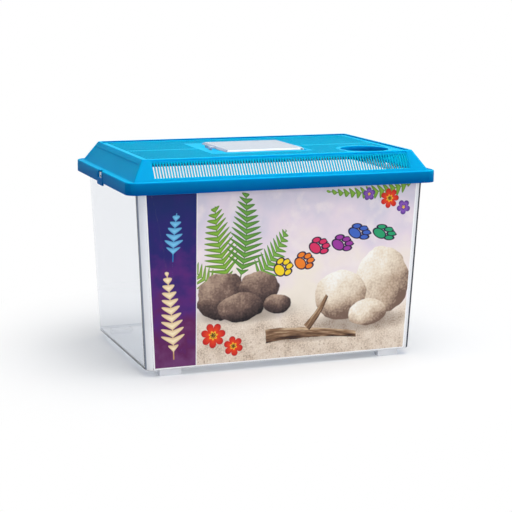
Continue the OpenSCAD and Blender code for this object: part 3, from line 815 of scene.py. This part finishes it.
def dress_hatch():
    hatch = own_copy("hatch", "feeding_hatch", "hatch")
    top = PANEL_TOP + HATCH_HEIGHT
    cover_top = on_outline(HATCH_X - HATCH_BEVEL, HATCH_Y - HATCH_BEVEL, HATCH_RADIUS, top)
    tab = in_box(-HATCH_X - TAB_LENGTH, -HATCH_X - 0.5, TAB_WIDTH / 2, PANEL_TOP, top + 2)
    round_edges(hatch, 0.3, cover_top, steps=2, least_angle=20)
    round_edges(hatch, 0.35, tab, steps=2)
    smooth_rounds(hatch)
    return hatch


def dress_latch(node, name):
    latch = own_copy(node, name, node)
    outer_face = SKIRT_X + LATCH_PROUD
    round_edges(latch, 0.35, lambda point: abs(abs(point.x) - outer_face) < NEAR)
    smooth_rounds(latch)
    return latch


def painted_light_share(point, face):
    """The light painted on the blue moulding at a point: 0, painted shade, on the skirt, rising to 1
    towards its top, with less on the border's inner walls, in the recess and on the end walls, or 2, a
    painted glow, for a face on the inside or between the slots of a long slope."""
    middle, normal = face.center / MM, face.normal
    climb = min(max((point.z - SKIRT_TOP) / SKIRT_FADE + 1, 0), 1)
    light = NOTHING_BEHIND * climb * climb * (3 - 2 * climb)
    from_recess = math.hypot(point.x - RECESS_X, point.y - RECESS_Y) - RECESS_RADIUS
    in_recess = from_recess < SLACK and RECESS_FLOOR - SLACK < point.z < PANEL_TOP - RECESS_LIP
    border_wall = abs(normal.z) < 0.5 and PANEL_TOP + SLACK < middle.z
    underside = normal.z < -0.3 and LEDGE_TOP < middle.z
    on_slope = CREST_Y < abs(middle.y) and LEDGE_TOP + SLOPE_MARGIN < middle.z
    slot_wall = abs(normal.x) > 0.9 and abs(middle.x) < PANEL_X and on_slope
    end_wall = abs(normal.x) > 0.6
    if border_wall:
        return light * BORDER_WALL_LIGHT
    if in_recess:
        return light * RECESS_LIGHT
    if underside or slot_wall:
        return INSIDE_GLOW
    return light * END_LIGHT if end_wall else light


def mark_painted_light(piece):
    """Writes the painted light at each corner of each face, for the blue plastic."""
    marks = piece.data.attributes.new("painted_light", "FLOAT", "CORNER")
    for face in piece.data.polygons:
        for corner in face.loop_indices:
            point = piece.data.vertices[piece.data.loops[corner].vertex_index].co / MM
            marks.data[corner].value = painted_light_share(point, face)


def tint_faces(piece, material, wanted):
    """Gives the faces that pass a test a material of their own."""
    piece.data.materials.append(material)
    slot = len(piece.data.materials) - 1
    for face in piece.data.polygons:
        if wanted(face):
            face.material_index = slot


def on_front_corner(face, low, high):
    """On an upright corner beside the label, outside, turned from the front by low to high degrees."""
    turn = math.degrees(math.atan2(abs(face.normal.x), -face.normal.y))
    upright = abs(face.normal.z) < 0.2
    return upright and low < turn < high and face.normal.x * face.center.x > 0


def is_foot_edge(face):
    """On the rounds of the tank's lowest edge, inside and outside, or on a foot."""
    level = abs(face.normal.z) >= 0.97
    return face.center.z / MM < FOOT_HEIGHT + FOOT_ROUND and not level


def is_hatch_bevel(face):
    """On the slanted front or back edge of the hatch's cover."""
    slanted = 0.2 < face.normal.z < 0.95
    return slanted and abs(face.normal.x) < 0.3


def is_bare_film(face):
    """On the label's edges or back: the film is printed on its outer face only."""
    printed = face.normal.y <= -0.5
    return not printed


def set_material(piece, material):
    piece.material_slots[0].material = material


lid = dress_lid()
tank = dress_tank()
hatch = dress_hatch()
left_latch = dress_latch("left_latch", "left_end_latch")
right_latch = dress_latch("right_latch", "right_end_latch")
label = own_copy("label", "front_label", "tank")

# The blue's three tones: painted shade, its lit tone, and the painted glow on its inside
blue = moulded_plastic("blue_moulded_plastic", ink(0, 88, 155), ink(0, 165, 218), ink(0, 152, 236), 0.55)
for piece in (lid, left_latch, right_latch):
    mark_painted_light(piece)
    set_material(piece, blue)

set_material(tank, clear_plastic("clear_polystyrene", (0.9, 0.915, 0.94, 1), 0.0))
# The front corners get painted light: a pale painted highlight, a painted dark line on the left corner, and
# painted shade on the right one
corner_painted_dark_line = clear_plastic("corner_painted_dark_line", (0.26, 0.29, 0.36, 1), 0.9, gloss=0.1)
corner_painted_shade = clear_plastic("corner_painted_shade", (0.05, 0.055, 0.075, 1), 1.0, gloss=0.02)
corner_painted_highlight = clear_plastic("corner_painted_highlight", (0.97, 0.98, 1.0, 1), 0.8)
# A pale painted highlight on the rounds of the tank's foot
foot_painted_highlight = clear_plastic("foot_painted_highlight", (0.96, 0.97, 1.0, 1), 0.7)
tint_faces(tank, corner_painted_highlight, lambda face: on_front_corner(face, *HIGHLIGHT_TURN))
tint_faces(tank, corner_painted_dark_line, lambda face: face.center.x < 0 and on_front_corner(face, *DARK_LINE_TURN))
tint_faces(tank, corner_painted_shade, lambda face: face.center.x > 0 and on_front_corner(face, *PAINTED_SHADE_TURN))
tint_faces(tank, foot_painted_highlight, is_foot_edge)

set_material(hatch, clear_plastic("hazy_polystyrene", (0.43, 0.53, 0.65, 1), 0.45, 0.15))
# A pale painted highlight on the hatch's front and back bevels
tint_faces(hatch, clear_plastic("hatch_painted_highlight", (0.80, 0.84, 0.88, 1), 0.7, 0.15), is_hatch_bevel)

set_material(label, printed_film("printed_film"))
tint_faces(label, white_film("bare_film"), is_bare_film)
